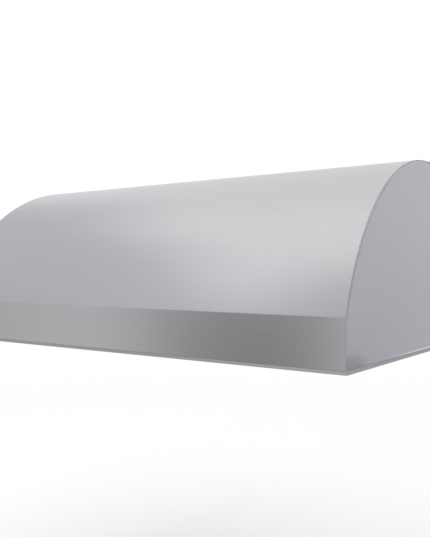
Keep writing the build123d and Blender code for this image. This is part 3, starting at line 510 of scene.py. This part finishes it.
# Top plate: flat brushed stainless behind the barrel, with a tongue under the barrel's rear edge and
# two round holes for the ducts. Pan-head screws hold it to the side panels, and the duct collars to it.
long_grain = (1.5, 1500, 1500)
top_brushed = steel_sheet("top_brushed", skin_tint, skin_roughness, long_grain, skin_contrast,
                          skin_anisotropy)
coat(top_brushed, "top_plate")
brush_along(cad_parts["top_plate"].data, (0, 100, 0))
screw_steel = steel_sheet("screw_steel", tint=(0.60, 0.60, 0.615), roughness=0.25, grain=(300, 300, 300),
                          contrast=0.06)
screw_profile = [
    (0, 0.0011), (0.0012, 0.0011), (0.0014, 0.0024), (0.0021, 0.0024), (0.0031, 0.0021), (0.0039, 0.0014),
    (0.0042, 0.0005), (0.0042, 0), (0.0020, 0), (0.0020, -0.0074), (0.0012, -0.0080), (0, -0.0080)]
screw_steps, row_screws, row_margin = 28, 4, 0.030
collar_x, collar_y, screw_ring, ring_screws = 0.300, -0.127, 0.112, 6
row_pitch = (-2 * row_margin - barrel_back) / (row_screws - 1)
top_rows = [barrel_back + row_margin + number * row_pitch for number in range(row_screws)]
top_spots = [(side * (hood_half - pan_flange / 2), y, hood_top) for side in (-1, 1) for y in top_rows]
ring_turns = [2 * pi * (number + 0.5) / ring_screws for number in range(ring_screws)]
collar_spots = [(side * collar_x + screw_ring * cos(turn), collar_y + screw_ring * sin(turn),
                 hood_top + sheet) for side in (-1, 1) for turn in ring_turns]
for spots, name, node in ((top_spots, "top_pan_heads", "top_screws"),
                          (collar_spots, "collar_pan_heads", "collar_screws")):
    screws = bmesh.new()
    for spot in spots:
        turned(screws, screw_profile, Matrix.Translation(spot), screw_steps, closed=False)
    make_piece(screws, name, screw_steel, node)


# Duct collars: spun galvanised rings on the top plate, stepped above the flange so that a round duct
# slides over. Inside, two aluminium flaps on a cross rod fall shut on a ledge when the fans stop.
collar_neck, collar_bore, collar_foot, collar_steps = 0.1008, 0.0998, 0.388, 144
collar_profile = [
    (collar_bore, collar_foot), (collar_bore, 0.4220), (0.0948, 0.4220), (0.0948, 0.4232),
    (collar_bore, 0.4232), (collar_bore, 0.4652), (0.1002, 0.4659), (0.1010, 0.4660), (0.1015, 0.4655),
    (0.1016, 0.4646), (0.1016, 0.4504), (0.1019, 0.4495), (0.1028, 0.4492), (0.1196, 0.4492),
    (0.1200, 0.4488), (0.1200, hood_top), (collar_neck, hood_top), (collar_neck, collar_foot)]
flap_metal = steel_sheet("flap_metal", tint=(0.66, 0.67, 0.69), roughness=0.32, grain=(4, 260, 260))
for side, hand in ((-1, "left"), (1, "right")):
    collar = bmesh.new()
    turned(collar, collar_profile, Matrix.Translation((side * collar_x, collar_y, 0)), collar_steps)
    make_piece(collar, f"spun_collar_{hand}", galvanised, f"duct_collar_{hand}")
    coat(shaft_ground, f"damper_rod_{hand}")
    coat(flap_metal, f"damper_flap_front_{hand}", f"damper_flap_rear_{hand}")


# Barrel front: one brushed stainless sheet, rolled to the barrel and creased to the upright band. Its
# cut ends lie on the side pans, and its lower edge is turned in above the rim.
skin_half, fold_half, band_return, crease_bend, crease_steps = 0.6072, 0.5913, 0.016, 0.0010, 4
barrel_brushed = steel_sheet("barrel_brushed", skin_tint, skin_roughness, long_grain, skin_contrast,
                             skin_anisotropy)
# The cut edge is a rougher, duller steel, and its colour is darkened as painted shade for the seam line.
cut_edge_and_shade = steel_sheet("cut_edge_and_shade", tint=(0.42, 0.42, 0.43), roughness=0.60, grain=(300, 300, 300),
                       contrast=0.08)
# Lighter near the top, where the painted seam shade fades out.
tint_where(cut_edge_and_shade, lambda x, y, z: 1 - below_top(z), (0.58, 0.58, 0.59))


def on_crease(place):
    near = 10 * touching
    return abs(place.z - band_top) < near and place.y < hood_front + near


def on_lower_edge(place):
    return abs(place.z - rim_top) < touching and abs(place.x) < fold_half + touching


front = bmesh.new()
skin_crease = end_curve(front, -skin_half, 0)[1]
draw_on(front, skin_crease, hood_front, rim_top)
fold(front, front.edges[:], (2 * skin_half, 0, 0))
for cut in (-fold_half, fold_half):
    everything = front.verts[:] + front.edges[:] + front.faces[:]
    bmesh.ops.bisect_plane(front, geom=everything, plane_co=(cut, 0, 0), plane_no=(1, 0, 0))
round_edges(front, edges_where(front, on_crease), crease_bend, crease_steps)
fold(front, edges_where(front, on_lower_edge), (0, band_return, 0))
thicken(front, (0, -1, 0))
for face in front.faces:
    face.material_index = int(abs(face.normal.x) > 0.9)
front = make_piece(front, "barrel_skin", barrel_brushed, "barrel_front", sharp=20)
front.data.materials.append(cut_edge_and_shade)
brush_along(front.data, (0, 100, 0))


# Baffle filters: three lift-out frames of satin stainless channel with two rows of facing baffles that
# catch the grease. Each swings down on pivot pins and has a bent wire handle in two lugs.
filter_satin = steel_sheet("filter_satin", tint=(0.59, 0.59, 0.605), roughness=0.33, grain=(420, 5, 420))
handle_bright = steel_sheet("handle_bright", tint=(0.68, 0.68, 0.69), roughness=0.18, grain=(200, 200, 200),
                            contrast=0.04)
bay_pitch, handle_y, handle_z = 0.390933, -0.532416, 0.108679
wire_radius, wire_bend, wire_leg, wire_pin, wire_drop = 0.0025, 0.006, 0.032, 0.046, 0.034
wire_sides, wire_bend_steps = 20, 8
# Each run of the wire is its straight shift, the bend's centre from the run's end and the bend's angle.
wire_runs = (
    ((wire_leg + wire_bend - wire_pin, 0, 0), (0, 0, -wire_bend), -90),
    ((0, 0, 2 * wire_bend - wire_drop), (-wire_bend, 0, 0), 90),
    ((2 * wire_bend - 2 * wire_leg, 0, 0), (0, 0, wire_bend), 90),
    ((0, 0, wire_drop - 2 * wire_bend), (-wire_bend, 0, 0), -90),
    ((wire_leg + wire_bend - wire_pin, 0, 0), None, 0),
)
for number in (1, 2, 3):
    coat(filter_satin, f"filter_frame_{number}", f"filter_baffles_{number}")
    bay_x = (number - 2) * bay_pitch
    handle = bmesh.new()
    seat = Matrix.Translation((bay_x + wire_pin, handle_y, handle_z)) @ Matrix.Rotation(pi / 2, 4, "Y")
    bmesh.ops.create_circle(handle, cap_ends=True, segments=wire_sides, radius=wire_radius, matrix=seat)
    section = handle.edges[:]
    for shift, centre, angle in wire_runs:
        corners = fold(handle, section, shift)
        section = [edge for edge in handle.edges if all(vertex in corners for vertex in edge.verts)]
        if centre:
            middle = sum((vertex.co for vertex in corners), Vector()) / len(corners)
            bent = bmesh.ops.spin(handle, geom=section, cent=middle + Vector(centre), axis=(0, 1, 0),
                                  angle=radians(angle), steps=wire_bend_steps)
            section = [part for part in bent["geom_last"] if isinstance(part, bmesh.types.BMEdge)]
    bmesh.ops.contextual_create(handle, geom=section)
    bmesh.ops.remove_doubles(handle, verts=handle.verts[:], dist=touching)
    bmesh.ops.recalc_face_normals(handle, faces=handle.faces[:])
    make_piece(handle, f"wire_bail_{number}", handle_bright, f"filter_handle_{number}",
               f"handle_{number}", sharp=50)


# Grease tray: a long folded trough under the filters' rear edges that catches what drips from them.
# It tilts down on a pin at each end for emptying.
tray_steel = steel_sheet("tray_steel", tint=(0.57, 0.57, 0.585), roughness=0.36, grain=(3, 420, 420),
                         contrast=0.06)
coat(tray_steel, "grease_tray")


# Studio: a pale floor far below the hood, a white surround, a soft light above and a light tent whose
# grey panels, unseen by the camera, give the steel something to reflect.
floor_level, floor_half, tent_radius = -0.75, 60, 7.0


def seen_white(wire):
    """1 for the rays that see the background: camera, glossy and transmission rays."""
    camera_ray, glossy_ray, glass_ray = [
        wire.add("LightPath", output=f"Is {kind} Ray") for kind in ("Camera", "Glossy", "Transmission")]
    return (camera_ray + glossy_ray + glass_ray).least(1.0)


pale_floor, wire, shader = new_finish("pale_floor", {
    "Roughness": 0.9, "Specular IOR Level": 0.1, "Emission Strength": 0.28})
wire.feed(shader, {
    "Base Color": grain_noise(wire, (3, 3, 3)).tone((0.80, 0.80, 0.80), (0.82, 0.82, 0.82)),
    "Emission Color": seen_white(wire).tone((0, 0, 0), (1, 1, 1)),
})
# Far off the floor is plain white, and from below it is clear, so that the hood's underside shows.
lit = Wire(pale_floor.node_tree, shader.outputs[0])
far = wire.add("VectorMath", {"operation": "LENGTH"}, {0: wire.point()}, "Value")
far_white = far.rise(1.6, 5.0) * wire.add("LightPath", output="Is Camera Ray")
lit = wire.add("MixShader", values={0: far_white, 1: lit, 2: wire.add("Emission")})
below = wire.add("NewGeometry", output="Backfacing")
clear = wire.add("BsdfTransparent")
wire.feed(pale_floor.node_tree.nodes["Material Output"], {
    "Surface": wire.add("MixShader", values={0: below, 1: lit, 2: clear})})
ground = bmesh.new()
bmesh.ops.create_grid(ground, x_segments=1, y_segments=1, size=floor_half)
bmesh.ops.translate(ground, verts=ground.verts[:], vec=(0, 0, floor_level))
studio_floor = new_object(ground, "studio_floor", pale_floor)
studio_floor.visible_glossy = False

# The tent's panels lie by degrees from the front towards the left, and degrees above the horizon.
tent_cloth = bpy.data.materials.new("tent_cloth")
tent_cloth.use_nodes = True
tent_cloth.node_tree.nodes.clear()
wire = Wire(tent_cloth.node_tree)
x, y, z = wire.add("VectorMath", {"operation": "NORMALIZE"}, {0: wire.point()}).split()
around = wire.maths("ARCTAN2", 0 - x, 0 - y) * (180 / pi)
above = wire.maths("ARCSINE", z) * (180 / pi)
# White cloth, less blue overhead and a little greyer behind.
tent_shade = above.rise(36, 50).tone((1.04, 1.04, 1.095), (1.04, 1.04, 1.045))
tent_shade = around.rise(80, 110).tone(tent_shade, (0.925, 0.925, 0.945))
# Grey wall on the left with a leaning edge, and a darker one low down in front of it.
rear_edge = 1 - around.rise(100, 120)
slant = above.most(24.5) * 0.87 + 5.9
left_wall = around.rise(slant, slant + 10.5) * rear_edge * (1 - above.rise(41, 54))
tent_shade = left_wall.tone(tent_shade, (0.685, 0.678, 0.73))
low_wall = around.rise(34, 41) * rear_edge * (1 - above.rise(6, 22))
low_shade = around.rise(42, 52).tone((0.71, 0.71, 0.72), (0.575, 0.575, 0.585))
tent_shade = low_wall.tone(tent_shade, low_shade)
# Grey wall from the right round to the front, where it meets the left wall.
front_wall = (1 - around.rise(22, 34)) * (1 - above.rise(38, 60))
front_shade = above.rise(6, 18).tone((0.74, 0.735, 0.76), (0.62, 0.615, 0.65))
tent_shade = front_wall.tone(tent_shade, front_shade)
# Bright strip along the horizon at the rear left, and a white ground.
rear_glow = around.rise(110, 130) * (1 - above.rise(8, 22)) * above.rise(-14, -4)
tent_shade = rear_glow.tone(tent_shade, (1.25, 1.25, 1.31))
tent_shade = above.rise(-45, -25).tone((1.0, 1.0, 1.05), tent_shade)
# Grey wall at the rear right, with a bright and a dark strip low down and dark ground under it.
right_wall = 1 - around.rise(-130, -110)
right_shade = above.rise(-10, 14).tone((0.572, 0.567, 0.617), (0.685, 0.68, 0.73))
right_low = around.rise(-161, -156).tone((1.10, 1.09, 1.16), (0.36, 0.36, 0.38))
right_shade = above.rise(-17, -12).tone(right_low, right_shade)
right_shade = above.rise(-40, -30).tone((0.15, 0.15, 0.17), right_shade)
tent_shade = right_wall.tone(tent_shade, right_shade)
# Dark flag low down in front, which shades the middle of the upright band.
flag = around.rise(15.5, 22.0) * (1 - around.rise(33, 40)) * (1 - above.rise(4, 14))
flag_shade = around.rise(23, 29).tone((0.20, 0.20, 0.196), (0.295, 0.295, 0.29))
tent_shade = flag.tone(tent_shade, flag_shade)
glow = wire.add("Emission", values={"Color": tent_shade, "Strength": 1.0})
output = tent_cloth.node_tree.nodes.new("ShaderNodeOutputMaterial")
wire.feed(output, {"Surface": glow})
tent = bmesh.new()
bmesh.ops.create_uvsphere(tent, u_segments=64, v_segments=32, radius=tent_radius)
light_tent = new_object(tent, "light_tent", tent_cloth)
light_tent.visible_camera = False
light_tent.visible_diffuse = False
light_tent.visible_shadow = False
light_tent.visible_transmission = False

surround = bpy.data.worlds.new("white_surround")
surround.use_nodes = True
wire = Wire(surround.node_tree)
wire.feed(surround.node_tree.nodes["Background"], {
    "Color": seen_white(wire).tone((0.80, 0.80, 0.81), (1, 1, 1)), "Strength": 1.0})
bpy.context.scene.world = surround

softbox = bpy.data.lights.new("softbox", "AREA")
softbox.shape, softbox.size, softbox.energy = "SQUARE", 2.4, 22
softbox_stand = bpy.data.objects.new("softbox", softbox)
softbox_stand.location = (-0.3, -1.2, 3.0)
softbox_stand.rotation_euler = (radians(18), 0, 0)
softbox_stand.visible_glossy = False
bpy.context.scene.collection.objects.link(softbox_stand)

camera_back = bpy.data.cameras.new("picture_camera")
camera_back.sensor_width, camera_back.lens = 36.0, 45.54
camera = bpy.data.objects.new("picture_camera", camera_back)
camera.location = (1.1388, -1.9055, 0.1959)
camera.rotation_euler = (radians(90), 0, radians(35.83))
bpy.context.scene.collection.objects.link(camera)
bpy.context.scene.camera = camera
bpy.context.scene.view_settings.view_transform = "Standard"
